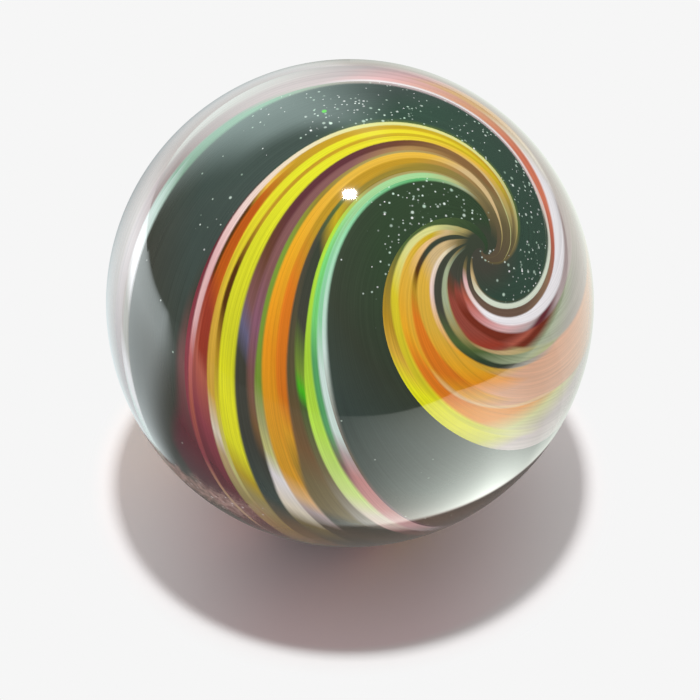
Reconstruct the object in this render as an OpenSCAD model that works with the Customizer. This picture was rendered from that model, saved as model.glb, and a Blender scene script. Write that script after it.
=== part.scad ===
// Swirl marble: a ball of dark green glass with two sweeps of coloured glass ribbon
// melted flush into its surface.
//
// The origin is the centre of the ball and +Z is up. The swirl has an axis of its own, from eye to eye,
// which leans over as the ball lies. A place on the ball is given by its polar angle from the upper eye
// and its azimuth about that axis, from the outer edge of the warm sweep, counterclockwise from outside.

/* [Ball] */
// Diameter of the ball
ball_d = 38; // [16:0.5:50]

/* [Swirl] */
// Lean of the swirl's axis from upright, in degrees
swirl_lean = 46; // [0:1:90]
// Compass direction that the axis leans to, in degrees from +X
swirl_heading = -48; // [-180:1:180]
// Turn of the whole swirl about its axis, in degrees
swirl_roll = 191; // [0:1:359]
// Polar angle of the plain eye at each end of the axis, in degrees
eye_angle = 6; // [4:0.5:14]
// Spiral part of the twist: degrees of turn for each step of e in the tangent of half the polar angle
spiral_turn = 50; // [10:1:70]
// Steady part of the twist: degrees of turn for each degree of polar angle
steady_turn = 1.2; // [0:0.1:1.6]
// Depth of the coloured glass below the surface
ribbon_depth = 1.5; // [0.8:0.1:3]

/* [Warm sweep] */
// Width of the sweep at the eye, in degrees of azimuth
warm_w = 58; // [48:1:70]
// How far the outer edge drifts on past its shoulder, in degrees
warm_outer_drift = 8; // [0:1:16]
// Polar angle of the outer edge's shoulder, in degrees
warm_outer_shoulder = 38; // [20:1:50]
// How far the outer edge falls back past the ebb, in degrees
warm_outer_ebb = 10; // [0:1:20]
// How far the inner edge drifts on past its shoulder, in degrees
warm_inner_drift = 29; // [0:1:34]
// Polar angle of the inner edge's shoulder, in degrees
warm_inner_shoulder = 30; // [15:1:45]
// How far the inner edge falls back past the ebb, in degrees
warm_inner_ebb = 14; // [0:1:20]
// Width of the brick red ribbon, as parts of the sweep
warm_brick_w = 12; // [4:1:20]
// Width of the yellow ribbon, as parts of the sweep
warm_yellow_w = 21; // [8:1:30]
// Width of the plum ribbon, as parts of the sweep
warm_plum_w = 20; // [8:1:30]
// Width of the orange ribbon, as parts of the sweep
warm_orange_w = 18; // [8:1:30]
// Width of the olive ribbon, as parts of the sweep
warm_olive_w = 11; // [4:1:20]
// Width of the lime ribbon, as parts of the sweep
warm_lime_w = 7; // [4:1:20]
// Width of the mint ribbon, as parts of the sweep
warm_mint_w = 11; // [4:1:20]

/* [Broad sweep] */
// Azimuth of its outer edge at the eye, in degrees
broad_start = 117; // [107:1:127]
// Width of the sweep at the eye, in degrees of azimuth
broad_w = 133; // [122:1:146]
// How far the outer edge drifts on past its shoulder, in degrees
broad_outer_drift = 30; // [0:1:40]
// Polar angle of the outer edge's shoulder, in degrees
broad_outer_shoulder = 32; // [20:1:45]
// How far the inner edge drifts on past its shoulder, in degrees
broad_inner_drift = 68; // [40:1:78]
// Polar angle of the inner edge's shoulder, in degrees
broad_inner_shoulder = 15; // [10:1:25]
// How far the inner edge falls back past the ebb, in degrees
broad_inner_ebb = 12; // [0:1:20]
// Width of the yellow ribbon, as parts of the sweep
broad_yellow_w = 13; // [4:1:20]
// Width of the brown ribbon inside the yellow, as parts of the sweep
broad_brown_w = 7; // [4:1:14]
// Width of the orange ribbon, as parts of the sweep
broad_orange_w = 12; // [4:1:20]
// Width of the cream line inside the orange, as parts of the sweep
broad_cream_w = 4; // [3:1:8]
// Width of the brown ribbon between the cream lines, as parts of the sweep
broad_dusk_w = 5; // [3:1:10]
// Width of the cream line outside the brick red, as parts of the sweep
broad_pale_w = 5; // [3:1:8]
// Width of the brick red ribbon, as parts of the sweep
broad_brick_w = 18; // [8:1:26]
// Width of the rose ribbon, as parts of the sweep
broad_rose_w = 8; // [4:1:14]
// Width of the white ribbon, as parts of the sweep
broad_white_w = 12; // [4:1:20]
// Width of the brown ribbon inside the white, as parts of the sweep
broad_rust_w = 10; // [4:1:20]
// Width of the cream line at the inner edge, as parts of the sweep
broad_rim_w = 6; // [3:1:12]

/* [Hidden] */

$fn = 96;
ball_r = ball_d / 2;

// The ribbons are cut by walls that run straight out from the centre, from inside the coloured layer
// to outside the ball.
wall_inner_r = 0.6 * (ball_r - ribbon_depth);
wall_outer_r = 1.3 * ball_r;
// Steps along a ribbon, from eye to eye.
steps = 36;
// Polar angle past which the edges fall back a little.
ebb_shoulder = 65;

// Widths of the ribbons of each sweep, from its outer edge to its inner edge.
WARM = [warm_brick_w, warm_yellow_w, warm_plum_w, warm_orange_w, warm_olive_w, warm_lime_w, warm_mint_w];
BROAD = [broad_yellow_w, broad_brown_w, broad_orange_w, broad_cream_w, broad_dusk_w, broad_pale_w,
         broad_brick_w, broad_rose_w, broad_white_w, broad_rust_w, broad_rim_w];

// Sum of the first n values of a list.
function sum(list, n) = n <= 0 ? 0 : list[n - 1] + sum(list, n - 1);

// Where across its sweep (0 outer edge, 1 inner edge) each ribbon's edge lies.
function shares(widths) = [for (i = [0:len(widths)]) sum(widths, i) / sum(widths, len(widths))];

// The twist that every edge shares, in degrees, at a polar angle.
function twist(polar) = spiral_turn * ln(tan(polar / 2)) + steady_turn * polar;

// 0 well before a shoulder and 1 well past it; a shoulder far from the eye is a gentle one.
function past(polar, shoulder) = 1 / (1 + exp((shoulder - polar) / (1.5 + 0.1 * shoulder)));

// Azimuth of each sweep's outer and inner edge, apart from the twist that all edges share.
function warm_outer(polar) =
    warm_outer_drift * past(polar, warm_outer_shoulder) - warm_outer_ebb * past(polar, ebb_shoulder);
function warm_inner(polar) =
    warm_w + warm_inner_drift * past(polar, warm_inner_shoulder) - warm_inner_ebb * past(polar, ebb_shoulder);
function broad_outer(polar) =
    broad_start + broad_outer_drift * past(polar, broad_outer_shoulder);
function broad_inner(polar) =
    broad_start + broad_w + broad_inner_drift * past(polar, broad_inner_shoulder)
    - broad_inner_ebb * past(polar, ebb_shoulder);

// Azimuth of the line that lies at a share across a sweep.
function azimuth(warm, polar, share) =
    twist(polar)
    + (warm ? warm_outer(polar) : broad_outer(polar)) * (1 - share)
    + (warm ? warm_inner(polar) : broad_inner(polar)) * share;

// Polar angle of a step along a ribbon: the steps draw in towards the eyes, where the spiral tightens.
function step_polar(i) =
    let (reach = ln(tan(eye_angle / 2)))
    2 * atan(exp(reach - 2 * reach * i / steps));

// A point on a ray from the centre.
function on_ray(r, polar, az) = r * [sin(polar) * cos(az), sin(polar) * sin(az), cos(polar)];

// Two triangles for the four corners of a face, given in turn as seen from outside or from inside.
function quad(a, b, c, d, from_outside) = from_outside ? [[a, b, c], [a, c, d]] : [[a, c, b], [a, d, c]];

// A solid wedge that reaches out from near the centre, between the first and the last of the shares given.
// Each step holds two rows of points, one on the inner end of the walls and one on the outer end.
module wedge(warm, at) {
    n = len(at);
    ring = 2 * n;
    points = [for (i = [0:steps]) each [for (r = [wall_inner_r, wall_outer_r], s = at)
        on_ray(r, step_polar(i), azimuth(warm, step_polar(i), s))]];
    ends = [for (i = [0:steps - 1], row = [0, 1], j = [0:n - 2]) each
        let (a = ring * i + n * row + j)
        quad(a, a + 1, a + 1 + ring, a + ring, row == 1)];
    walls = [for (i = [0:steps - 1], side = [0, 1]) each
        let (a = ring * i + (n - 1) * side)
        quad(a, a + n, a + n + ring, a + ring, side == 0)];
    tips = [for (i = [0, steps], j = [0:n - 2]) each
        let (a = ring * i + j)
        quad(a, a + 1, a + 1 + n, a + n, i == 0)];
    polyhedron(points, concat(ends, walls, tips), convexity = 10);
}

// Turns a shape from the swirl's own frame, whose +Z runs to the eye, to the way the ball lies.
module lay() {
    rotate([0, swirl_lean, swirl_heading]) rotate([0, 0, swirl_roll]) children();
}

// The layer under the surface that holds the coloured glass, cut to one wedge.
module inlay(warm, at) {
    lay() intersection() {
        difference() {
            sphere(ball_r);
            sphere(ball_r - ribbon_depth);
        }
        wedge(warm, at);
    }
}

// Ribbons of one sweep, by their place in its list of widths.
module warm_ribbon(i) {
    inlay(true, [shares(WARM)[i], shares(WARM)[i + 1]]);
}
module broad_ribbon(i) {
    inlay(false, [shares(BROAD)[i], shares(BROAD)[i + 1]]);
}

// The ball less the channels that the two sweeps fill.
module dark_glass() {
    color("#2f4a3a") lay() difference() {
        sphere(ball_r);
        difference() {
            union() {
                wedge(true, shares(WARM));
                wedge(false, shares(BROAD));
            }
            sphere(ball_r - ribbon_depth);
        }
    }
}

module yellow_ribbons() {
    color("#e0c51e") {
        warm_ribbon(1);
        broad_ribbon(0);
    }
}

module orange_ribbons() {
    color("#e08a1c") {
        warm_ribbon(3);
        broad_ribbon(2);
    }
}

module brick_ribbons() {
    color("#9a3a2a") {
        warm_ribbon(0);
        broad_ribbon(6);
    }
}

module brown_ribbons() {
    color("#5d4a3a") {
        broad_ribbon(1);
        broad_ribbon(4);
        broad_ribbon(9);
    }
}

module cream_ribbons() {
    color("#e6dcc0") {
        broad_ribbon(3);
        broad_ribbon(5);
        broad_ribbon(10);
    }
}

module plum_ribbon() {
    color("#5a3f4a") warm_ribbon(2);
}

module olive_ribbon() {
    color("#44502a") warm_ribbon(4);
}

module lime_ribbon() {
    color("#8fc832") warm_ribbon(5);
}

module mint_ribbon() {
    color("#9fd8b8") warm_ribbon(6);
}

module rose_ribbon() {
    color("#d98c8c") broad_ribbon(7);
}

module white_ribbon() {
    color("#f0e8e8") broad_ribbon(8);
}

dark_glass();
yellow_ribbons();
orange_ribbons();
brick_ribbons();
brown_ribbons();
cream_ribbons();
plum_ribbon();
olive_ribbon();
lime_ribbon();
mint_ribbon();
rose_ribbon();
white_ribbon();
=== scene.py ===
"""A swirl marble on a pale floor.

A ball of dark green glass holds two sweeps of coloured glass ribbon, melted flush into its surface,
that wind out of a dark eye. The ball's meridians are laid along the ribbons, so each piece of glass
follows its own run.
"""

import math
from collections import namedtuple

import bmesh
import bpy
from mathutils import Matrix, Vector


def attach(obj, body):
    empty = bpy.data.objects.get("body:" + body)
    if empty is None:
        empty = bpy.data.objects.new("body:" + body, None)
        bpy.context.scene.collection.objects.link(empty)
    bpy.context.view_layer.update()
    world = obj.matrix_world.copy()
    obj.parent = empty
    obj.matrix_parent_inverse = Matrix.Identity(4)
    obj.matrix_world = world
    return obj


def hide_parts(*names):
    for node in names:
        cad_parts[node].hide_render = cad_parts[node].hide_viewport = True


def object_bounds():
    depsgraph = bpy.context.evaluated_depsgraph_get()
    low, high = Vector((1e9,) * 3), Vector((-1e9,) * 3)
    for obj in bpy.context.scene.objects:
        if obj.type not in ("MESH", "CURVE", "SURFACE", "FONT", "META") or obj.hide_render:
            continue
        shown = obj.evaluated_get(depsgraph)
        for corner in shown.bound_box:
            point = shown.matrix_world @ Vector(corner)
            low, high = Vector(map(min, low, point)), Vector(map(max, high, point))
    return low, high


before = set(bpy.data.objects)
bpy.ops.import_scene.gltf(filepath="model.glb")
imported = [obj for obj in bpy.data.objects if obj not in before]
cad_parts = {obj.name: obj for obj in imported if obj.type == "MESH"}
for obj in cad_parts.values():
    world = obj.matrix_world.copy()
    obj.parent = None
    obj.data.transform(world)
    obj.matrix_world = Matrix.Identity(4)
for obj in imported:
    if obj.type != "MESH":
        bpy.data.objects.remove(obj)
cad_lo, cad_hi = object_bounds()

# ---------------------------------------------------------------- sizes, as in the source of the solids

CENTRE = (cad_lo + cad_hi) / 2
BALL_R = (cad_hi.z - cad_lo.z) / 2
RIBBON_DEPTH = 0.0015

SWIRL_LEAN = 46
SWIRL_HEADING = -48
SWIRL_ROLL = 191
SPIRAL_TURN = 50
STEADY_TURN = 1.2
EBB_SHOULDER = 65

# The hair-thin ends of the ribbons run on to this polar angle. The solids' ribbons stop sooner.
EYE_ANGLE = 1.6

# Each ribbon of a sweep from its outer edge to its inner edge: the solid it belongs to, and its width
# in parts.
WARM_RIBBONS = (
    ("brick_ribbons", 12),
    ("yellow_ribbons", 21),
    ("plum_ribbon", 20),
    ("orange_ribbons", 18),
    ("olive_ribbon", 11),
    ("lime_ribbon", 7),
    ("mint_ribbon", 11),
)
BROAD_RIBBONS = (
    ("yellow_ribbons", 13),
    ("brown_ribbons", 7),
    ("orange_ribbons", 12),
    ("cream_ribbons", 4),
    ("brown_ribbons", 5),
    ("cream_ribbons", 5),
    ("brick_ribbons", 18),
    ("rose_ribbon", 8),
    ("white_ribbon", 12),
    ("brown_ribbons", 10),
    ("cream_ribbons", 6),
)
GAP = (("dark_glass", 100),)

# The ball goes round as a sweep, a gap, a sweep and a gap, with so many lines of faces in each.
Stretch = namedtuple("Stretch", "name ribbons lines")
STRETCHES = (
    Stretch("warm", WARM_RIBBONS, 80),
    Stretch("inner_gap", GAP, 36),
    Stretch("broad", BROAD_RIBBONS, 148),
    Stretch("outer_gap", GAP, 56),
)
RINGS = 240
# How far the rings of faces are drawn in towards the eyes: 0 leaves them evenly spaced.
EYE_RINGS_DRAW_IN = 0.5


def past(polar, shoulder):
    """0 well before a shoulder and 1 well past it."""
    return 1 / (1 + math.exp((shoulder - polar) / (1.5 + 0.1 * shoulder)))


def twist(polar):
    """The turn that every ribbon shares, in degrees."""
    return SPIRAL_TURN * math.log(math.tan(math.radians(polar / 2))) + STEADY_TURN * polar


def edges(stretch, polar):
    """Azimuth of a stretch's first and last edge, apart from the twist, in degrees."""
    ebb = past(polar, EBB_SHOULDER)
    warm_outer = 8 * past(polar, 38) - 10 * ebb
    warm_inner = 58 + 29 * past(polar, 30) - 14 * ebb
    broad_outer = 117 + 30 * past(polar, 32)
    broad_inner = 250 + 68 * past(polar, 15) - 12 * ebb
    return {
        "warm": (warm_outer, warm_inner),
        "inner_gap": (warm_inner, broad_outer),
        "broad": (broad_outer, broad_inner),
        "outer_gap": (broad_inner, warm_outer + 360),
    }[stretch]


# ---------------------------------------------------------------- the ball, wound along the ribbons

# How the ball is laid: rolled about its upper eye, leant over, and turned to its heading.
LAY = (
    Matrix.Translation(CENTRE)
    @ Matrix.Rotation(math.radians(SWIRL_HEADING), 4, "Z")
    @ Matrix.Rotation(math.radians(SWIRL_LEAN), 4, "Y")
    @ Matrix.Rotation(math.radians(SWIRL_ROLL), 4, "Z")
)

# One line of faces: its stretch, its solid, where it starts and ends across the stretch,
# and which ribbon of the stretch it is in.
Line = namedtuple("Line", "stretch node start end ribbon")


def lines_of_faces():
    lines = []
    for stretch in STRETCHES:
        total = sum(width for _, width in stretch.ribbons)
        at = 0
        for number, (node, width) in enumerate(stretch.ribbons):
            count = max(2, round(stretch.lines * width / total))
            for i in range(count):
                start = (at + width * i / count) / total
                end = (at + width * (i + 1) / count) / total
                lines.append(Line(stretch.name, node, start, end, number))
            at += width
    return lines


LINES = lines_of_faces()


def off_the_pole(polar, azimuth):
    """A point of the ball's skin before it is laid, from two angles in radians."""
    across = math.sin(polar)
    return BALL_R * Vector((across * math.cos(azimuth), across * math.sin(azimuth), math.cos(polar)))


def wound_ball():
    """A ball whose meridians run along the ribbons.

    Its faces know their line, and its vertices their meridian and polar angle.
    """
    bm = bmesh.new()
    bmesh.ops.create_uvsphere(bm, u_segments=len(LINES), v_segments=RINGS, radius=BALL_R)
    bm.normal_update()
    meridian = bm.verts.layers.int.new("meridian")
    polar_of = bm.verts.layers.float.new("polar")
    line_of = bm.faces.layers.int.new("line")
    step = 2 * math.pi / len(LINES)
    for face in bm.faces:
        middle = face.calc_center_median()
        line_of_face = math.atan2(middle.y, middle.x) / step
        face[line_of] = math.floor(line_of_face) % len(LINES)
    for vert in bm.verts:
        flat = math.hypot(vert.co.x, vert.co.y)
        polar = math.atan2(flat, vert.co.z)
        if flat < BALL_R * 1e-4:
            vert[meridian] = -1
            vert[polar_of] = 0 if vert.co.z > 0 else 180
            vert.co = Vector((0, 0, math.copysign(BALL_R, vert.co.z)))
            continue
        number = round(math.atan2(vert.co.y, vert.co.x) / step) % len(LINES)
        polar -= EYE_RINGS_DRAW_IN / 2 * math.sin(2 * polar)
        degrees = math.degrees(polar)
        line = LINES[number]
        first, last = edges(line.stretch, degrees)
        azimuth = math.radians(twist(degrees) + first + (last - first) * line.start)
        vert[meridian] = number
        vert[polar_of] = degrees
        vert.co = off_the_pole(polar, azimuth)
    bmesh.ops.transform(bm, matrix=LAY, verts=bm.verts)
    return bm


def note_the_run(bm):
    """Writes a UV map: each corner's share across its stretch, and its share from eye to eye."""
    meridian = bm.verts.layers.int["meridian"]
    polar_of = bm.verts.layers.float["polar"]
    line_of = bm.faces.layers.int["line"]
    run = bm.loops.layers.uv.new("run")
    for face in bm.faces:
        number = face[line_of]
        line = LINES[number]
        for loop in face.loops:
            at = loop.vert[meridian]
            share = (line.start + line.end) / 2 if at < 0 else line.start if at == number else line.end
            loop[run].uv = (share, loop.vert[polar_of] / 180)


def node_faces(bm, node):
    line_of = bm.faces.layers.int["line"]
    polar_of = bm.verts.layers.float["polar"]

    def belongs(face):
        highest = max(vert[polar_of] for vert in face.verts)
        lowest = min(vert[polar_of] for vert in face.verts)
        in_eye = highest < EYE_ANGLE or lowest > 180 - EYE_ANGLE
        return LINES[face[line_of]].node == node and not in_eye

    return [face for face in bm.faces if belongs(face)]


def press_in(bm, faces):
    """Extrudes faces and moves the new ones inwards by the ribbons' depth, about the centre."""
    new = bmesh.ops.extrude_face_region(bm, geom=faces)["geom"]
    moved = [part for part in new if isinstance(part, bmesh.types.BMVert)]
    for vert in moved:
        vert.co = CENTRE + (vert.co - CENTRE) * (1 - RIBBON_DEPTH / BALL_R)


def piece_of_glass(name, bm):
    mesh = bpy.data.meshes.new(name)
    bm.to_mesh(mesh)
    bm.free()
    mesh.shade_smooth()
    piece = bpy.data.objects.new(name, mesh)
    bpy.context.scene.collection.objects.link(piece)
    return piece


# ---------------------------------------------------------------- shader maths


class Feed:
    """A socket of a material. Expressions on it add Math nodes, and node() adds any other node."""

    def __init__(self, socket):
        self.socket = socket

    def node(self, kind, settings=None, sockets=None, output=0):
        """A new node beside this one: its settings first, then the values or links of its sockets."""
        tree = self.socket.id_data
        made = tree.nodes.new(kind)
        for name, value in (settings or {}).items():
            if name == "stops":
                lay_stops(made.color_ramp, value)
            elif name == "easing":
                made.color_ramp.interpolation = value
            else:
                setattr(made, name, value)
        for name, value in (sockets or {}).items():
            if isinstance(value, Feed):
                tree.links.new(value.socket, made.inputs[name])
            else:
                made.inputs[name].default_value = value
        return Feed(made.outputs[output])

    def also(self, output):
        """Another output of the same node."""
        return Feed(self.socket.node.outputs[output])

    def maths(self, operation, first, second):
        return self.node("ShaderNodeMath", {"operation": operation}, {0: first, 1: second})

    def __add__(self, other):
        return self.maths("ADD", self, other)

    def __sub__(self, other):
        return self.maths("SUBTRACT", self, other)

    def __rsub__(self, other):
        return self.maths("SUBTRACT", other, self)

    def __mul__(self, other):
        return self.maths("MULTIPLY", self, other)

    def __truediv__(self, other):
        return self.maths("DIVIDE", self, other)

    def __pow__(self, other):
        return self.maths("POWER", self, other)

    def __abs__(self):
        return self.maths("ABSOLUTE", self, 0)

    def __rpow__(self, other):
        return self.maths("POWER", other, self)

    __radd__ = __add__
    __rmul__ = __mul__


def lay_stops(ramp, stops):
    """Sets a ramp's stops: (position, colour) pairs."""
    while len(ramp.elements) > 1:
        ramp.elements.remove(ramp.elements[-1])
    for number, (position, colour) in enumerate(stops):
        stop = ramp.elements[0] if number == 0 else ramp.elements.new(position)
        stop.position = position
        stop.color = colour


def linear(hexed):
    """A colour written as six hex digits, as Blender's linear values."""
    parts = [int(hexed[i:i + 2], 16) / 255 for i in (0, 2, 4)]
    return tuple(p / 12.92 if p <= 0.04045 else ((p + 0.055) / 1.055) ** 2.4 for p in parts) + (1,)


def rise(value, start, end):
    """0 before start, 1 past end, and a soft step between."""
    sockets = {"Value": value, "From Min": start, "From Max": end}
    return value.node("ShaderNodeMapRange", {"interpolation_type": "SMOOTHSTEP"}, sockets)


def blend(factor, under, over):
    """Colour over laid on colour under."""
    return factor.node("ShaderNodeMix", {"data_type": "RGBA"}, {0: factor, 6: under, 7: over}, output=2)


def noise(place, scale, detail=2, roughness=0.5):
    sockets = {"Vector": place, "Scale": scale, "Detail": detail, "Roughness": roughness}
    return place.node("ShaderNodeTexNoise", {}, sockets)


# ---------------------------------------------------------------- the glass

# Colours of glass by name, each as six hex digits.
GLASS = {name: linear(value) for name, value in {
    "soot": "46463c",
    "pine": "32462f",
    "teal": "344b3e",
    "slate": "424f49",
    "smoke": "3c4436",
    "fern": "556b38",
    "moss": "665c3e",
    "drab": "82734a",
    "olive": "958232",
    "khaki": "a89a60",
    "reed": "b6b67c",
    "straw": "dcdc8e",
    "cream": "eadcba",
    "ivory": "f6ecd6",
    "milk": "f6f0f0",
    "snow": "fffcff",
    "lemon": "dfe02a",
    "citron": "fafa22",
    "yellow": "e2d02c",
    "honey": "c8ac20",
    "ochre": "be9426",
    "gold": "e2b440",
    "amber": "f0ae26",
    "orange": "f59c1c",
    "tangerine": "e8801e",
    "rust": "c35c14",
    "brick": "a43e2a",
    "clay": "9a4a3c",
    "bark": "5c503e",
    "ash": "b09e96",
    "fawn": "94765c",
    "oxblood": "7d2f1c",
    "coral": "c06450",
    "wine": "9c4450",
    "maroon": "6c2a34",
    "umber": "5a3408",
    "cocoa": "6a422e",
    "walnut": "84623a",
    "tan": "a8844f",
    "sand": "d2b684",
    "plum": "5e3238",
    "puce": "855a58",
    "violet": "6e6a88",
    "lilac": "906074",
    "dove": "c4b2b2",
    "pewter": "a8a296",
    "scuff": "c6a69c",
    "rose": "d27272",
    "petal": "d68e8c",
    "mole": "70594a",
    "verdigris": "739c7f",
    "pink": "ebbcbc",
    "blush": "f0d4cc",
    "peach": "e6aa84",
    "apricot": "f4c88e",
    "salmon": "e27e5e",
    "leaf": "7ea038",
    "emerald": "4bc81e",
    "lime": "b6e640",
    "spring": "cdff54",
    "pistachio": "e4ff96",
    "apple": "7cdc7a",
    "jade": "5eb06c",
    "mint": "98dcac",
    "celadon": "a2d496",
    "ice": "e0f6ee",
    "frost": "e2ecd8",
    "sage": "aab694",
}.items()}

# A strand of glass lies from its edge to the next strand's edge. The edge is (polar angle, share of the
# stretch) pairs, or 0 for the first strand, which lies under all of its stretch; then come the softness
# of the edge and the strand's glass by polar angle, which in places is painted shade or painted
# reflection, as noted at each sweep.
Strand = namedtuple("Strand", "edge soft run")

# Painted shade: past about 73 degrees, the strands from the middle of the warm sweep to its inner edge
# turn to soot, bark, puce and walnut, for the shade on the ball's underside and its mirrored shadow.
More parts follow.
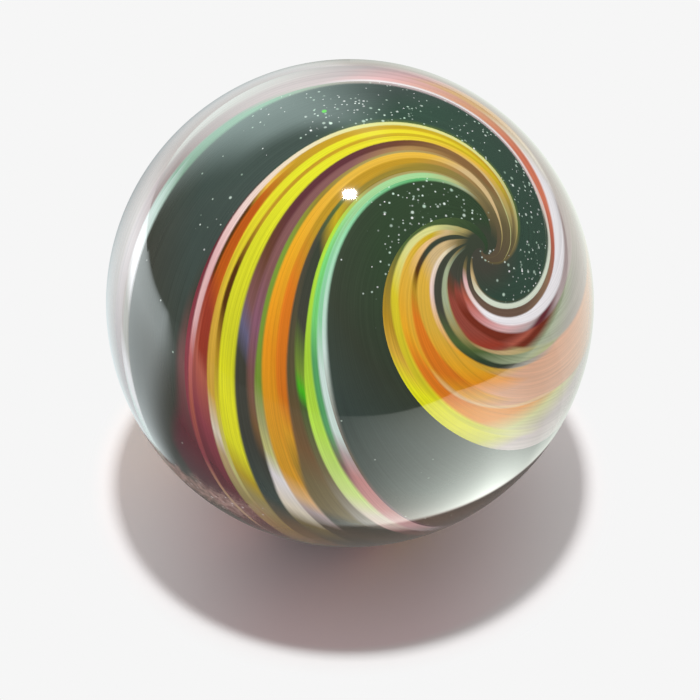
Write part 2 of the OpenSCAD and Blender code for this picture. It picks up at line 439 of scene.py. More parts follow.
WARM_STRANDS = (
    Strand(
        0, 0,
        ((4, "bark"), (8, "moss"), (11, "khaki"), (15, "drab"), (24, "fern"), (48, "teal"),
         (58, "maroon"), (68, "wine"), (76, "wine"), (84, "maroon")),
    ),
    Strand(
        ((8, -0.06), (12, -0.03), (16, 0), (22, -0.005), (38, 0), (46, 0.012), (56, 0.012), (64, 0.03),
         (74, 0.025), (84, -0.01)),
        0.008,
        ((4, "bark"), (7, "moss"), (11, "khaki"), (15, "reed"), (22, "straw"), (38, "straw"),
         (44, "cream"), (52, "blush"), (58, "pink"), (65, "pink"), (69, "rose"), (75, "coral"),
         (82, "wine"), (90, "sand")),
    ),
    Strand(
        ((8, 0.03), (12, 0.06), (17, 0.082), (24, 0.056), (40, 0.046), (48, 0.056), (66, 0.068),
         (84, 0.03)),
        0.008,
        ((4, "bark"), (9, "moss"), (13, "khaki"), (18, "ochre"), (26, "honey"), (44, "ochre"),
         (48, "gold"), (51, "umber"), (58, "umber"), (60, "brick"), (67, "coral"), (74, "wine"),
         (82, "maroon")),
    ),
    Strand(
        ((30, 0.1), (48, 0.085), (64, 0.095)),
        0.008,
        ((4, "bark"), (9, "moss"), (13, "khaki"), (18, "ochre"), (26, "honey"), (44, "ochre"),
         (49, "rust"), (57, "rust"), (61, "brick"), (66, "brick"), (68, "coral"), (75, "wine"),
         (84, "maroon")),
    ),
    Strand(
        ((20, 0.115), (36, 0.112), (44, 0.135), (52, 0.155), (64, 0.168), (72, 0.168), (84, 0.14)),
        0.008,
        ((4, "bark"), (9, "moss"), (12, "drab"), (18, "honey"), (28, "yellow"), (42, "lemon"),
         (52, "yellow"), (60, "gold"), (68, "gold"), (73, "ivory"), (76, "sand"), (82, "khaki"),
         (88, "tan")),
    ),
    Strand(
        ((20, 0.17), (32, 0.17), (40, 0.196), (48, 0.212), (56, 0.204), (64, 0.222), (84, 0.2)),
        0.008,
        ((4, "bark"), (9, "moss"), (12, "drab"), (18, "honey"), (30, "honey"), (40, "ochre"),
         (47, "ochre"), (53, "umber"), (57, "umber"), (62, "ochre"), (68, "yellow"), (77, "straw"),
         (84, "tan")),
    ),
    Strand(
        ((20, 0.205), (32, 0.215), (42, 0.238), (56, 0.243), (66, 0.25), (84, 0.22)),
        0.008,
        ((4, "bark"), (9, "moss"), (12, "khaki"), (20, "gold"), (29, "yellow"), (40, "lemon"),
         (58, "lemon"), (65, "citron"), (71, "citron"), (76, "honey"), (80, "khaki"), (88, "tan")),
    ),
    Strand(
        ((5, -0.1), (6, 0.06), (8, 0.2), (10, 0.285), (12, 0.335), (14, 0.33), (18, 0.29), (25, 0.25),
         (36, 0.3), (60, 0.34)),
        0.014,
        ((5, "khaki"), (8, "reed"), (12, "reed"), (17, "sand"), (24, "gold"), (30, "yellow"),
         (38, "lemon"), (60, "lemon"), (65, "citron"), (71, "citron"), (76, "honey"), (80, "khaki"),
         (88, "tan")),
    ),
    Strand(
        ((5, -0.06), (6, 0.1), (8, 0.24), (10, 0.325), (12, 0.38), (14, 0.375), (18, 0.34), (25, 0.28),
         (30, 0.285), (38, 0.325), (47, 0.352), (64, 0.358), (74, 0.34), (84, 0.3)),
        0.012,
        ((4, "bark"), (9, "moss"), (12, "drab"), (16, "walnut"), (24, "walnut"), (29, "cocoa"),
         (34, "plum"), (41, "plum"), (46, "cocoa"), (51, "puce"), (54, "violet"), (57, "soot"),
         (66, "soot"), (76, "slate"), (86, "walnut")),
    ),
    Strand(
        ((8, 0.45), (14, 0.48), (20, 0.43), (26, 0.38), (36, 0.4), (48, 0.435), (60, 0.445)),
        0.02,
        ((4, "bark"), (9, "moss"), (12, "drab"), (20, "walnut"), (27, "tan"), (33, "puce"), (46, "puce"),
         (51, "lilac"), (56, "puce"), (63, "walnut"), (68, "soot"), (78, "slate")),
    ),
    Strand(
        ((8, 0.55), (14, 0.545), (18, 0.5), (24, 0.455), (38, 0.485), (50, 0.505), (58, 0.49),
         (66, 0.485), (72, 0.455), (78, 0.42)),
        0.01,
        ((4, "bark"), (9, "moss"), (12, "drab"), (20, "tan"), (28, "khaki"), (36, "olive"), (42, "leaf"),
         (56, "leaf"), (61, "reed"), (65, "straw"), (69, "snow"), (75, "ivory"), (79, "drab"),
         (86, "soot")),
    ),
    Strand(
        ((4, 0.5), (5, 0.61), (7, 0.68), (10, 0.67), (13, 0.6), (17, 0.535), (22, 0.5), (29, 0.495),
         (35, 0.525), (44, 0.54)),
        0.012,
        ((4, "moss"), (6, "khaki"), (10, "sand"), (18, "sand"), (23, "gold"), (32, "gold"), (40, "amber"),
         (50, "orange"), (62, "amber"), (66, "amber"), (70, "apricot"), (73, "dove"), (77, "bark"),
         (84, "soot")),
    ),
    Strand(
        ((4, 0.55), (5, 0.66), (7, 0.735), (10, 0.755), (14, 0.7), (18, 0.64), (23, 0.6), (30, 0.6),
         (37, 0.635)),
        0.014,
        ((4, "bark"), (9, "moss"), (12, "drab"), (18, "tan"), (24, "ochre"), (36, "ochre"),
         (42, "tangerine"), (53, "tangerine"), (58, "amber"), (63, "ochre"), (67, "tan"), (71, "pewter"),
         (74, "soot")),
    ),
    Strand(
        ((8, 0.86), (14, 0.78), (20, 0.7), (40, 0.72), (48, 0.715), (60, 0.685), (68, 0.64)),
        0.012,
        ((4, "bark"), (9, "moss"), (14, "drab"), (22, "olive"), (29, "ochre"), (32, "fern"), (36, "soot"),
         (50, "moss"), (58, "walnut"), (64, "drab"), (70, "drab"), (73, "soot"), (79, "bark")),
    ),
    Strand(
        ((10, 0.9), (20, 0.78), (32, 0.76), (48, 0.78)),
        0.015,
        ((4, "bark"), (9, "moss"), (14, "drab"), (22, "olive"), (29, "olive"), (32, "honey"),
         (35, "smoke"), (42, "soot"), (47, "leaf"), (49, "emerald"), (51, "fern"), (60, "drab"),
         (70, "pewter"), (73, "soot"), (79, "bark")),
    ),
    Strand(
        ((10, 0.94), (18, 0.87), (24, 0.845), (36, 0.857), (42, 0.855), (52, 0.825), (66, 0.835),
         (76, 0.86)),
        0.008,
        ((4, "bark"), (9, "moss"), (12, "drab"), (20, "khaki"), (27, "khaki"), (32, "lime"), (44, "lime"),
         (52, "spring"), (62, "pistachio"), (67, "ivory"), (71, "blush"), (74, "puce"), (84, "walnut")),
    ),
    Strand(
        ((8, 1.02), (13, 0.95), (18, 0.9), (30, 0.895), (40, 0.9), (56, 0.91), (64, 0.93)),
        0.014,
        ((4, "bark"), (8, "moss"), (13, "drab"), (16, "reed"), (20, "celadon"), (28, "celadon"),
         (34, "apple"), (39, "apple"), (43, "jade"), (51, "jade"), (56, "puce"), (62, "petal"),
         (69, "blush"), (73, "dove"), (80, "puce")),
    ),
    Strand(
        ((10, 1.0), (18, 0.95), (42, 0.955), (50, 0.95), (60, 0.935)),
        0.014,
        ((4, "bark"), (8, "moss"), (12, "drab"), (15, "reed"), (20, "celadon"), (28, "celadon"),
         (33, "mint"), (38, "mint"), (43, "ice"), (50, "ice"), (53, "dove"), (57, "petal"), (64, "petal"),
         (70, "pink"), (75, "dove"), (82, "puce")),
    ),
)
# Painted reflection: from about 30 to 60 degrees the broad sweep's strands turn to dove, ash and peach,
# the pale wash that the glass mirrors along its rim, painted into the glass.
BROAD_STRANDS = (
    Strand(
        0, 0,
        ((4, "pine"), (18, "fern"), (22, "olive"), (26, "ochre"), (29, "gold"), (33, "citron"),
         (38, "citron"), (42, "lemon"), (46, "dove"), (59, "dove"), (68, "honey"), (90, "gold")),
    ),
    Strand(
        ((4, -0.13), (6, -0.08), (8, -0.045), (10, -0.02), (14, 0), (18, 0.018), (26, 0.052),
         (34, 0.065)),
        0.008,
        ((4, "smoke"), (6, "khaki"), (9, "reed"), (12, "straw"), (17, "straw"), (22, "yellow"),
         (30, "yellow"), (34, "citron"), (39, "lemon"), (43, "straw"), (48, "dove"), (59, "dove"),
         (67, "yellow"), (90, "lemon")),
    ),
    Strand(
        ((4, 0.04), (8, 0.03), (12, 0.045), (18, 0.062), (26, 0.098), (36, 0.095)),
        0.01,
        ((4, "smoke"), (7, "khaki"), (9, "sand"), (12, "honey"), (18, "gold"), (24, "amber"),
         (28, "tangerine"), (31, "tangerine"), (34, "orange"), (37, "orange"), (41, "straw"),
         (47, "dove"), (59, "dove"), (67, "amber"), (90, "orange")),
    ),
    Strand(
        ((4, 0.1), (8, 0.085), (12, 0.088), (18, 0.102), (26, 0.145), (32, 0.168), (40, 0.26)),
        0.008,
        ((4, "smoke"), (7, "khaki"), (10, "sand"), (13, "apricot"), (18, "gold"), (27, "amber"),
         (30, "apricot"), (38, "apricot"), (44, "dove")),
    ),
    Strand(
        ((4, 0.15), (6, 0.1), (9, 0.108), (13, 0.13), (20, 0.155), (28, 0.168), (33, 0.2), (40, 0.29)),
        0.01,
        ((4, "smoke"), (13, "smoke"), (16, "umber"), (18, "ochre"), (21, "tangerine"), (27, "tangerine"),
         (31, "amber"), (34, "peach"), (44, "peach"), (60, "ash")),
    ),
    Strand(
        ((4, 0.2), (8, 0.172), (13, 0.178), (18, 0.19), (25, 0.24), (32, 0.26)),
        0.01,
        ((4, "smoke"), (6, "drab"), (9, "sand"), (12, "sand"), (15, "gold"), (20, "gold"), (25, "amber"),
         (28, "orange"), (31, "peach"), (44, "peach"), (59, "ash"), (67, "tangerine"), (90, "tangerine")),
    ),
    Strand(
        ((4, 0.28), (15, 0.285), (20, 0.3), (28, 0.37)),
        0.01,
        ((4, "smoke"), (6, "drab"), (9, "cream"), (15, "blush"), (18, "apricot"), (22, "amber"),
         (25, "gold"), (28, "peach"), (44, "peach"), (59, "ash"), (67, "gold"), (90, "amber")),
    ),
    Strand(
        ((4, 0.35), (7, 0.332), (12, 0.327), (18, 0.322), (22, 0.345), (26, 0.41), (30, 0.48)),
        0.01,
        ((4, "smoke"), (16, "soot"), (20, "fern"), (23, "pine"), (25, "smoke"), (27, "pewter"),
         (30, "peach"), (44, "peach"), (59, "ash"), (67, "bark"), (90, "pine")),
    ),
    Strand(
        ((4, 0.415), (12, 0.412), (17, 0.38), (21, 0.392), (25, 0.435), (30, 0.53)),
        0.01,
        ((4, "smoke"), (6, "drab"), (10, "sage"), (14, "sage"), (18, "khaki"), (21, "fern"), (25, "sage"),
         (28, "reed"), (33, "ash"), (58, "ash"), (67, "reed")),
    ),
    Strand(
        ((4, 0.46), (13, 0.455), (18, 0.425), (21, 0.445), (26, 0.53), (58, 0.53), (70, 0.56)),
        0.01,
        ((4, "smoke"), (10, "sage"), (15, "khaki"), (19, "tan"), (22, "sand"), (26, "reed"), (30, "sage"),
         (34, "ash"), (58, "ash"), (67, "cream")),
    ),
    Strand(
        ((4, 0.53), (6, 0.5), (9, 0.477), (13, 0.468), (17, 0.44), (20, 0.45), (24, 0.56), (58, 0.56),
         (70, 0.58)),
        0.01,
        ((4, "smoke"), (9, "soot"), (11, "cocoa"), (13, "clay"), (17, "clay"), (20, "brick"),
         (21, "clay"), (23, "reed"), (28, "sage"), (33, "ash"), (58, "ash"), (67, "brick")),
    ),
    Strand(
        ((4, 0.59), (10, 0.574), (13, 0.544), (18, 0.545), (23, 0.53), (58, 0.53), (70, 0.65)),
        0.014,
        ((4, "smoke"), (9, "soot"), (11, "clay"), (14, "oxblood"), (19, "oxblood"), (20, "clay"),
         (21, "coral"), (22, "oxblood"), (23, "oxblood"), (25, "sage"), (30, "pewter"), (36, "ash"),
         (58, "ash"), (67, "oxblood")),
    ),
    Strand(
        ((4, 0.7), (8, 0.68), (12, 0.65), (14, 0.62), (20, 0.635), (22, 0.66), (27, 0.72)),
        0.016,
        ((4, "smoke"), (8, "soot"), (11, "coral"), (14, "petal"), (17, "pink"), (20, "dove"),
         (21, "maroon"), (22, "maroon"), (24, "dove"), (36, "ash")),
    ),
    Strand(
        ((4, 0.74), (8, 0.735), (12, 0.735), (14, 0.71), (17, 0.695), (21, 0.72), (25, 0.775),
         (30, 0.825)),
        0.018,
        ((4, "smoke"), (6, "drab"), (8, "pink"), (10, "blush"), (13, "snow"), (32, "snow"), (37, "ivory"),
         (42, "apricot"), (46, "apricot"), (51, "pink"), (58, "dove"), (72, "ash")),
    ),
    Strand(
        ((4, 0.85), (8, 0.815), (10, 0.8), (13, 0.787), (16, 0.787), (18, 0.815), (22, 0.885),
         (26, 0.918)),
        0.014,
        ((4, "smoke"), (7, "soot"), (11, "mole"), (16, "mole"), (19, "fawn"), (22, "coral"),
         (26, "salmon"), (32, "salmon"), (40, "peach"), (50, "pink"), (56, "dove"), (76, "puce"),
         (88, "dove")),
    ),
    Strand(
        ((4, 1.0), (8, 0.905), (10, 0.895), (14, 0.9), (16, 0.9), (18, 0.915), (22, 0.95), (28, 0.983)),
        0.008,
        ((4, "drab"), (6, "sand"), (10, "frost"), (19, "frost"), (25, "blush"), (34, "milk"),
         (50, "milk"), (56, "dove"), (61, "pewter"), (66, "verdigris"), (75, "verdigris"), (80, "ice"),
         (84, "snow"), (88, "ash")),
    ),
    Strand(
        ((4, 1.05), (8, 1.0), (12, 0.98), (18, 0.976), (22, 0.985), (28, 1.06)),
        0.018,
        ((4, "soot"), (10, "teal")),
    ),
)
INNER_GAP_STRANDS = (
    Strand(
        0, 0,
        ((4, "smoke"), (8, "moss"), (11, "drab"), (14, "sage"), (20, "jade"), (30, "mint"), (40, "ice"),
         (48, "pewter"), (54, "walnut"), (62, "lilac")),
    ),
    Strand(
        ((3, 0.6), (5, 0.38), (7, 0.24), (9, 0.14), (12, 0.08), (16, 0.06), (30, 0.06), (40, 0.05),
         (50, 0.01)),
        0.03,
        ((4, "smoke"), (7, "pine"), (22, "pine"), (34, "smoke"), (44, "slate"), (56, "slate"),
         (62, "soot"), (68, "mole")),
    ),
)
OUTER_GAP_STRANDS = (
    Strand(
        0, 0,
        ((3, "soot"), (4, "drab"), (6, "sand"), (8, "drab"), (12, "moss"), (18, "fern"), (26, "dove"),
         (46, "dove"), (52, "pewter"), (60, "verdigris"), (72, "verdigris"), (79, "ice"), (82, "snow"),
         (85, "snow"), (88, "pewter")),
    ),
    Strand(
        ((4, 0.08), (6, 0.05), (8, 0.01), (20, 0.01), (28, 0.05), (44, 0.06), (54, 0.05), (66, 0.09),
         (80, 0.12)),
        0.03,
        ((4, "soot"), (10, "teal"), (36, "teal"), (44, "slate"), (64, "slate"), (80, "soot")),
    ),
    Strand(
        ((4, 0.93), (8, 0.96), (40, 0.95), (54, 0.98), (70, 0.93), (80, 0.86), (90, 0.62)),
        0.05,
        ((4, "moss"), (9, "drab"), (12, "fern"), (32, "fern"), (44, "slate"), (58, "slate"), (64, "soot"),
         (72, "puce"), (82, "maroon"), (90, "plum")),
    ),
)
STRANDS = {
    "warm": WARM_STRANDS,
    "inner_gap": INNER_GAP_STRANDS,
    "broad": BROAD_STRANDS,
    "outer_gap": OUTER_GAP_STRANDS,
}

GLASS_IOR = 1.55


def fresh_glass(name):
    """A material, its shader, the share across the stretch, the share from eye to eye, and the place."""
    material = bpy.data.materials.new(name)
    material.use_nodes = True
    tree = material.node_tree
    shader = tree.nodes["Principled BSDF"]
    run_map = tree.nodes.new("ShaderNodeUVMap")
    run_map.uv_map = "run"
    run = Feed(run_map.outputs[0])
    parts = run.node("ShaderNodeSeparateXYZ", {}, {0: run})
    place = run.node("ShaderNodeTexCoord", output="Object")
    return material, shader, parts, parts.also(1), place


def along_run(reach, stops):
    """The glass of one strand, by polar angle; the way to the far eye mirrors the way to the near one."""
    ramp = [(polar / 90, GLASS[glass]) for polar, glass in stops]
    return reach.node("ShaderNodeValToRGB", {"stops": ramp}, {0: reach})


def flakes(place, size, share_lit):
    """How bright small flakes shine, of which a share is lit, and how green they are."""
    cells = place.node("ShaderNodeTexVoronoi", {"feature": "F1"}, {"Vector": place, "Scale": 1 / size})
    luck = cells.node("ShaderNodeSeparateColor", {}, {0: cells.also("Color")})
    lit = luck.maths("LESS_THAN", luck, share_lit)
    flake = 1 - rise(cells.also("Distance"), 0.12, 0.20 + 0.22 * luck.also(2))
    return lit * flake * (0.45 + 0.55 * luck.also(1)), 0.6 * luck.also(2)


# The scuffed strip's height below the middle of the ball, in ball radii.
SCUFF_DEPTH = 0.35


def scuffed(place):
    """How worn the skin is: a level strip of fine chips runs round the ball, low on its left."""
    centred = place.node("ShaderNodeVectorMath", {"operation": "SUBTRACT"}, {0: place, 1: CENTRE})
    parts = centred.node("ShaderNodeSeparateXYZ", {}, {0: centred})
    x, y, z = parts / BALL_R, parts.also(1) / BALL_R, parts.also(2) / BALL_R
    ragged = 0.12 * noise(place, 900, detail=3)
    strip = 1 - rise(abs(z + SCUFF_DEPTH) + ragged, 0.09, 0.20)
    return strip * (1 - rise(x, -0.52, -0.24)) * (1 - rise(y, -0.50, -0.34))


# The scuffed strip's dark and pale chips: the size of their cells, the share that shows, and the glass.
CHIPS = (
    (0.00050, 0.45, "plum"),
    (0.00040, 0.55, "milk"),
)


def polish(shader, colour, place):
    """The finish that all the glass shares: polished and finely smeared, with one scuffed strip."""
    tree = shader.id_data
    worn = scuffed(place)
    grit = rise(noise(place, 1900, detail=3, roughness=0.7), 0.40, 0.62)
    colour = blend(worn * (0.45 + 0.5 * grit), colour, GLASS["scuff"])
    for size, share_lit, glass in CHIPS:
        chips, _ = flakes(place, size, share_lit * worn)
        colour = blend(chips, colour, GLASS[glass])
    tree.links.new(colour.socket, shader.inputs["Base Color"])
    smear = noise(place, 160, detail=3)
    tree.links.new((0.03 + 0.05 * smear + 0.45 * worn).socket, shader.inputs["Roughness"])
    tree.links.new((1 - 0.85 * worn).socket, shader.inputs["Coat Weight"])
    shader.inputs["IOR"].default_value = GLASS_IOR
    shader.inputs["Coat Roughness"].default_value = 0.02
    shader.inputs["Coat IOR"].default_value = GLASS_IOR


def shares_of(strand):
    """The lowest and the highest share at which a strand starts."""
    shares = [share for _, share in strand.edge] if strand.edge else [0]
    return min(shares), max(shares)


# A ramp holds greys from 0 to 1 only, so shares a little outside that range are written closer together.
GREY_SPAN = 0.8
GREY_BASE = 0.1


def edge_along_run(reach, edge):
    """Where a strand starts, as a share of its stretch, by polar angle."""
    greys = [(polar, GREY_SPAN * share + GREY_BASE) for polar, share in edge]
    ramp = [(polar / 90, (grey, grey, grey, 1)) for polar, grey in greys]
    grey = reach.node("ShaderNodeValToRGB", {"stops": ramp, "easing": "CARDINAL"}, {0: reach})
    return (grey - GREY_BASE) * (1 / GREY_SPAN)


# Round the eye the broad sweep's strands are drawn in, towards its inner edge: by this share at the pole,
# fading over this polar angle.
EYE_DRAW = 0.39
EYE_DRAW_REACH = 8.6
# A strand this share or more outside a ribbon is left out of its glass.
SPARE = 0.03


def wound_colour(stretch, start, end, share, way):
    """The colours of the strands that cross a stretch between two shares of it."""
    reach = 1 - abs(way * 2 - 1)
    colour = None
    strands = STRANDS[stretch]
    lowest = start - EYE_DRAW if stretch == "broad" else start
    if stretch == "broad":
        drawn_in = EYE_DRAW * math.e ** (-1 * (reach * (90 / EYE_DRAW_REACH)) ** 2)
        share = (share - drawn_in) / (1 - drawn_in)
    for number, strand in enumerate(strands):
        covered = number + 1 < len(strands) and shares_of(strands[number + 1])[1] < lowest - SPARE
        if covered or shares_of(strand)[0] > end + SPARE:
            continue
        glass = along_run(reach, strand.run)
        if colour is None:
            colour = glass
            continue
        edge = edge_along_run(reach, strand.edge)
        colour = blend(rise(share, edge - strand.soft, edge + strand.soft), colour, glass)
    streaks = share.node("ShaderNodeCombineXYZ", {}, {0: share * 90, 1: way * 9, 2: 0})
    streak = noise(streaks, 1.0, detail=4, roughness=0.65)
    return share.node("ShaderNodeHueSaturation", {}, {"Value": 0.58 + 0.84 * streak, "Color": colour})


def ribbon_glass(name, stretch, start, end):
    """The glass of one ribbon, between two shares of its sweep."""
    material, shader, share, way, place = fresh_glass(name)
    polish(shader, wound_colour(stretch, start, end, share, way), place)
    return material


# The glitter's two sizes of flake, real flakes painted near white as glints of the lamp: the size of
# their cells, and the share that shines.
GLITTER = (
    (0.00029, 0.52),
    (0.00046, 0.30),
)
# The share of flakes that shines as painted glints even where the glitter has thinned out.
STRAY_GLITTER = 0.006
# Between these polar angles, in degrees, the glitter of each gap thins out, so that the painted glints
# gather nearer the eye, high on the ball where the lamp glints.
PAINTED_GLINTS_THIN_OUT = {"inner_gap": (16, 32), "outer_gap": (46, 66)}
# Flecks of bright green glass: the gap, the share across it, the polar angle and the radius.
FLECKS = (
    ("outer_gap", 0.555, 46.9, 0.00022),
)


def on_ball(stretch, share, polar):
    """A point of the ball's skin before it is laid, at a share across a stretch and a polar angle."""
    first, last = edges(stretch, polar)
    azimuth = math.radians(twist(polar) + first + (last - first) * share)
    return off_the_pole(math.radians(polar), azimuth)


def dark_glass(name, stretch):
    """The green glass of the ball, with glitter in it, its flakes painted near white as glints."""
    material, shader, share, way, place = fresh_glass(name)
    colour = wound_colour(stretch, 0, 1, share, way)
    cloud = noise(place, 120, detail=4, roughness=0.6)
    colour = share.node("ShaderNodeHueSaturation", {}, {"Value": 0.8 + 0.4 * cloud, "Color": colour})
    reach = 90 - abs(way * 180 - 90)
    thins_out = PAINTED_GLINTS_THIN_OUT[stretch]
    thick = (1 - rise(reach, *thins_out)) * rise(noise(place, 260, detail=1), 0.34, 0.62)
    # Painted glints: real flakes, blended towards snow and mint as if each caught the lamp.
    for size, lit_share in GLITTER:
        painted_glint, green = flakes(place, size, lit_share * thick + STRAY_GLITTER)
        colour = blend(painted_glint, colour, blend(green, GLASS["snow"], GLASS["mint"]))
    for fleck_stretch, at_share, polar, radius in FLECKS:
        if fleck_stretch != stretch:
            continue
        spot = LAY @ on_ball(stretch, at_share, polar)
        far = place.node("ShaderNodeVectorMath", {"operation": "DISTANCE"}, {0: place, 1: spot}, output=1)
        colour = blend(1 - rise(far, radius * 0.6, radius), colour, GLASS["emerald"])
    polish(shader, colour, place)
    return material


# ---------------------------------------------------------------- the pieces

SLOTS = {
    "dark_glass": "dark_green_glass",
    "yellow_ribbons": "yellow_glass",
    "orange_ribbons": "orange_glass",
    "brick_ribbons": "brick_glass",
    "brown_ribbons": "brown_glass",
    "cream_ribbons": "cream_glass",
    "plum_ribbon": "plum_glass",
    "olive_ribbon": "olive_glass",
    "lime_ribbon": "lime_glass",
    "mint_ribbon": "mint_glass",
    "rose_ribbon": "rose_glass",
    "white_ribbon": "white_glass",
}


def ribbon_spans(stretch_name):
    """The shares at which each ribbon of a stretch starts and ends."""
    stretch = next(s for s in STRETCHES if s.name == stretch_name)
    total = sum(width for _, width in stretch.ribbons)
    spans = []
    at = 0
    for _, width in stretch.ribbons:
        spans.append((at / total, (at + width) / total))
        at += width
    return spans


def dress(piece, node):
    """Gives each face of a piece the glass of its own ribbon."""
    mesh = piece.data
    line_of = mesh.attributes["line"].data
    used = {}
    for face in mesh.polygons:
        line = LINES[line_of[face.index].value]
        key = (line.stretch, line.ribbon)
        if key not in used:
            used[key] = len(used)
            if line.stretch in GAP_GLASS:
                mesh.materials.append(GAP_GLASS[line.stretch])
            else:
                name = f"{line.stretch}_{node}_{line.ribbon}"
                start, end = ribbon_spans(line.stretch)[line.ribbon]
                mesh.materials.append(ribbon_glass(name, line.stretch, start, end))
        face.material_index = used[key]


def round_normals(piece):
    """Corner normals: along the radius on the skin and the grooves' floor, and flat on the walls."""
    mesh = piece.data
    normals = []
    for face in mesh.polygons:
        corners = [mesh.vertices[i].co - CENTRE for i in face.vertices]
        on_skin = all(abs(c.length - BALL_R) < BALL_R * 0.001 for c in corners)
        inside = all(abs(c.length - BALL_R + RIBBON_DEPTH) < BALL_R * 0.001 for c in corners)
        if on_skin or inside:
            outward = 1 if face.normal.dot(corners[0]) > 0 else -1
            normals.extend(c.normalized() * outward for c in corners)
        else:
            normals.extend(face.normal.copy() for _ in corners)
    mesh.normals_split_custom_set(normals)


def set_in_place(bm, node):
    """Finishes the piece that takes the place of a solid."""
    bmesh.ops.recalc_face_normals(bm, faces=bm.faces)
    piece = piece_of_glass(f"glass_{node}", bm)
    dress(piece, node)
    round_normals(piece)
    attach(piece, "root")
    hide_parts(node)


ball = wound_ball()
note_the_run(ball)
GAP_GLASS = {name: dark_glass(f"dark_glass_{name}", name) for name in ("inner_gap", "outer_gap")}
ribbon_nodes = [node for node in SLOTS if node != "dark_glass"]

for node in ribbon_nodes:
    bm = ball.copy()
    keep = set(node_faces(bm, node))
    bmesh.ops.delete(bm, geom=[face for face in bm.faces if face not in keep], context="FACES")
    press_in(bm, list(bm.faces))
    set_in_place(bm, node)

body = ball.copy()
grooves = [face for node in ribbon_nodes for face in node_faces(body, node)]
press_in(body, grooves)
bmesh.ops.delete(body, geom=grooves, context="FACES")
set_in_place(body, "dark_glass")
ball.free()

# ---------------------------------------------------------------- floor, cards and light

FLOOR_Z = cad_lo.z
DARK_ROOM = 0.07


def plane(name, corners):
    bm = bmesh.new()
    verts = [bm.verts.new(corner) for corner in corners]
    bm.faces.new(verts)
    mesh = bpy.data.meshes.new(name)
    bm.to_mesh(mesh)
    bm.free()
    obj = bpy.data.objects.new(name, mesh)
    bpy.context.scene.collection.objects.link(obj)
    return obj


def stage_paint(name):
    """A material for the stage, emptied, and its Object coordinates in ball radii."""
    material = bpy.data.materials.new(name)
    material.use_nodes = True
    tree = material.node_tree
    tree.nodes.clear()
    place = Feed(tree.nodes.new("ShaderNodeTexCoord").outputs["Object"])
    parts = place.node("ShaderNodeSeparateXYZ", {}, {0: place})
    return material, parts / BALL_R, parts.also(1) / BALL_R, parts.also(2) / BALL_R


def show(shader):
    """Makes a shader the surface of its material."""
    tree = shader.socket.id_data
    out = tree.nodes.new("ShaderNodeOutputMaterial")
    tree.links.new(shader.socket, out.inputs["Surface"])


def distance(x, y):
    return (x * x + y * y) ** 0.5


def clamped(value, low, high):
    return value.maths("MINIMUM", value.maths("MAXIMUM", value, low), high)


def floor_paint():
    material, x, y, _ = stage_paint("floor_paper")
    away = distance(x, y)
    # Lengths are in ball radii and angles in degrees.
    # What the glass mirrors: dim paper, brightest on the right in front, where light lands through the
    # ball, and bright on the left; the ball's shadow; and the paper's edges, with the dark past them.
    unshaded = rise(distance(x + 0.03, y - 0.02), 1.0, 1.07)
    sheet = rise(y - 0.12 * x, -7.3, -6.8) * (1 - rise(x, 5.8, 6.2)) * rise(x, -50, -11)
    from_front = x.maths("ARCTAN2", x, -1 * y) * (180 / math.pi)
    fading = math.e ** ((1.7 - away) / 7)
    patch = 2.5 * rise(from_front, -24, 58) * (1 - 0.65 * rise(from_front, 50, 78)) * fading
    patch = patch * (1 - rise(y, -0.5, 0.5) * (1 - rise(x, -0.4, 1.2)))
    beside = rise(from_front, 78, 100) * (1 - rise(away, 1.3, 3.2))
    patch = patch * (1 - 0.35 * beside)
    behind_left = x.maths("ARCTAN2", y, -1 * x) * (180 / math.pi)
    left = (0.75 + 0.9 * rise(away, 1, 8)) * rise(behind_left, -22, -3) * rise(y, -2.4, -0.4)
    left = left * (1 - 0.6 * rise(behind_left, 30, 60))
    left = left * (1 - 0.75 * rise(x, -0.9, 0.9))
    lit = (0.15 + left + patch) * sheet + DARK_ROOM * (1 - sheet)
    glow = lit * unshaded + 0.15 * (1 - unshaded)
    tint = blend(rise(x, -1.5, 0.5), (0.88, 0.98, 1.0, 1), (0.94, 1.0, 0.92, 1))
    tint = blend(unshaded, (1.0, 0.90, 0.84, 1), tint)
    mirrored = x.node("ShaderNodeEmission", {}, {"Color": tint, "Strength": glow})
    # What the eye sees: an even white backdrop, and in the ball's shadow paper painted with a pink glow
    # of light through the glass, deepest and darkest in the middle of the shadow and paler at its sides.
    # Painted glow: blush is how much of the pink light through the glass is painted on the paper.
    blush = 1 - rise(abs(x), 0.2, 1.0)
    paper_with_painted_glow = blend(blush * (1 - unshaded), (0.97, 0.93, 0.93, 1), (0.94, 0.755, 0.77, 1))
    paper = x.node("ShaderNodeBsdfDiffuse", {}, {"Color": paper_with_painted_glow})
    backdrop = x.node("ShaderNodeEmission", {}, {"Strength": 0.922})
    rays = x.node("ShaderNodeLightPath")
    eye = rays.also("Is Camera Ray")
    past_shadow = rise(distance(x, y - 0.04), 1.03, 1.2)
    seen = x.node("ShaderNodeMixShader", {}, {0: eye * past_shadow, 1: paper, 2: backdrop})
    seen = x.node("ShaderNodeMixShader", {}, {0: rays.also("Is Glossy Ray"), 1: seen, 2: mirrored})
    below = x.node("ShaderNodeNewGeometry").also("Backfacing")
    clear = x.node("ShaderNodeBsdfTransparent")
    show(x.node("ShaderNodeMixShader", {}, {0: below * eye, 1: seen, 2: clear}))
    return material


FLOOR_HALF = 1.5
quarters = ((-1, -1), (1, -1), (1, 1), (-1, 1))
floor = plane("floor", [(x * FLOOR_HALF, y * FLOOR_HALF, FLOOR_Z) for x, y in quarters])
floor.data.materials.append(floor_paint())


def compass(azimuth, elevation, away):
    """A point so many ball radii from the centre; azimuth 0 is behind the ball and grows to the right."""
    a, e = math.radians(azimuth), math.radians(elevation)
    flat = math.cos(e)
    return CENTRE + away * BALL_R * Vector((math.sin(a) * flat, math.cos(a) * flat, math.sin(e)))


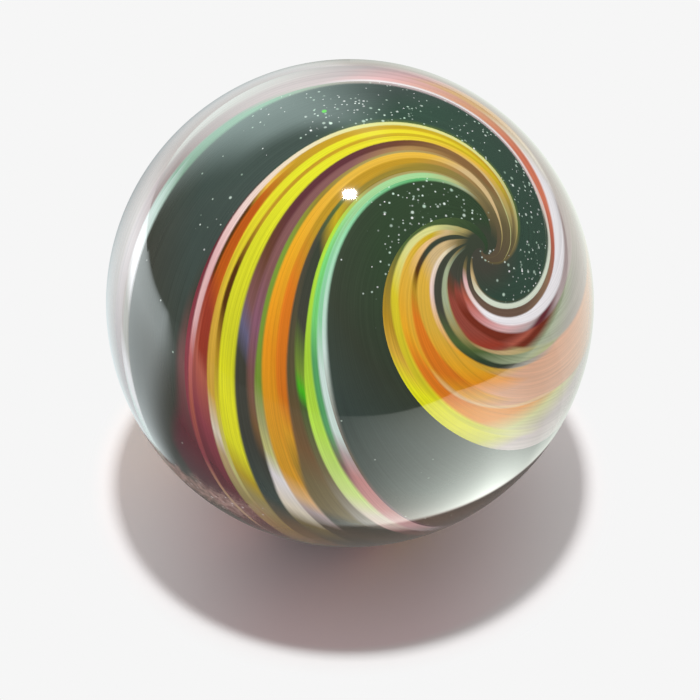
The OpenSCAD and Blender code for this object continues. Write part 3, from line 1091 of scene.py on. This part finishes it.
def back_card():
    """A pale screen behind the ball on the left, which only the glass mirrors."""
    corners = [compass(-66, -2, 30), compass(30, -2, 30), compass(30, 62, 30), compass(-66, 62, 30)]
    card = plane("back_card", corners)
    material, x, y, z = stage_paint("screen")
    turn = x.maths("ARCTAN2", x, y) * (180 / math.pi)
    climb = x.maths("ARCTAN2", z, distance(x, y)) * (180 / math.pi)
    right_edge = 1 - rise(turn - 0.5 * (clamped(climb, 27, 62) - 30), -26, 16)
    top_edge = 1 - rise(climb - 0.25 * turn, 47, 62)
    light = rise(turn, -62, -32) * right_edge * top_edge
    colour = (0.80, 1.0, 0.98, 1)
    show(x.node("ShaderNodeEmission", {}, {"Color": colour, "Strength": DARK_ROOM + 1.35 * light}))
    card.data.materials.append(material)
    card.visible_camera = False
    card.visible_diffuse = False
    card.visible_shadow = False


back_card()

world = bpy.data.worlds.new("studio")
bpy.context.scene.world = world
world.use_nodes = True
tree = world.node_tree
tree.nodes.clear()
rays = Feed(tree.nodes.new("ShaderNodeLightPath").outputs["Is Camera Ray"])
sky_place = Feed(tree.nodes.new("ShaderNodeTexCoord").outputs["Generated"])
from_behind = rise(sky_place.node("ShaderNodeSeparateXYZ", {}, {0: sky_place}).also(1), -0.2, 0.7)
soft_light = 0.42 + 0.5 * from_behind
strength = rays * 0.92 + rays.also("Is Diffuse Ray") * soft_light + rays.also("Is Glossy Ray") * DARK_ROOM
sky = rays.node("ShaderNodeBackground", {}, {"Color": (1, 1, 1, 1), "Strength": strength})
out = tree.nodes.new("ShaderNodeOutputWorld")
tree.links.new(sky.socket, out.inputs["Surface"])

lamp_data = bpy.data.lights.new("softbox", "AREA")
lamp_data.shape = "RECTANGLE"
lamp_data.size = 0.95 * BALL_R
lamp_data.size_y = 0.80 * BALL_R
lamp_data.energy = 0.36
lamp = bpy.data.objects.new("softbox", lamp_data)
lamp.location = CENTRE + BALL_R * Vector((-0.02, -0.49, 12.7))
lamp.rotation_euler = (math.radians(-2), 0, 0)
bpy.context.scene.collection.objects.link(lamp)

# ---------------------------------------------------------------- camera

CAMERA_AWAY = 6.85 * BALL_R
CAMERA_UP = math.radians(39.7)
camera_data = bpy.data.cameras.new("camera")
camera_data.lens = 85
camera_data.sensor_width = 36
camera_data.clip_start = 0.005
camera_data.clip_end = 10
camera = bpy.data.objects.new("camera", camera_data)
back = Vector((0, -math.cos(CAMERA_UP), math.sin(CAMERA_UP)))
up = Vector((0, math.sin(CAMERA_UP), math.cos(CAMERA_UP)))
camera.location = CENTRE + back * CAMERA_AWAY
aim = CENTRE - up * (0.19 * BALL_R)
camera.rotation_euler = (camera.location - aim).to_track_quat("Z", "Y").to_euler()
bpy.context.scene.collection.objects.link(camera)
bpy.context.scene.camera = camera
bpy.context.scene.view_settings.view_transform = "Standard"
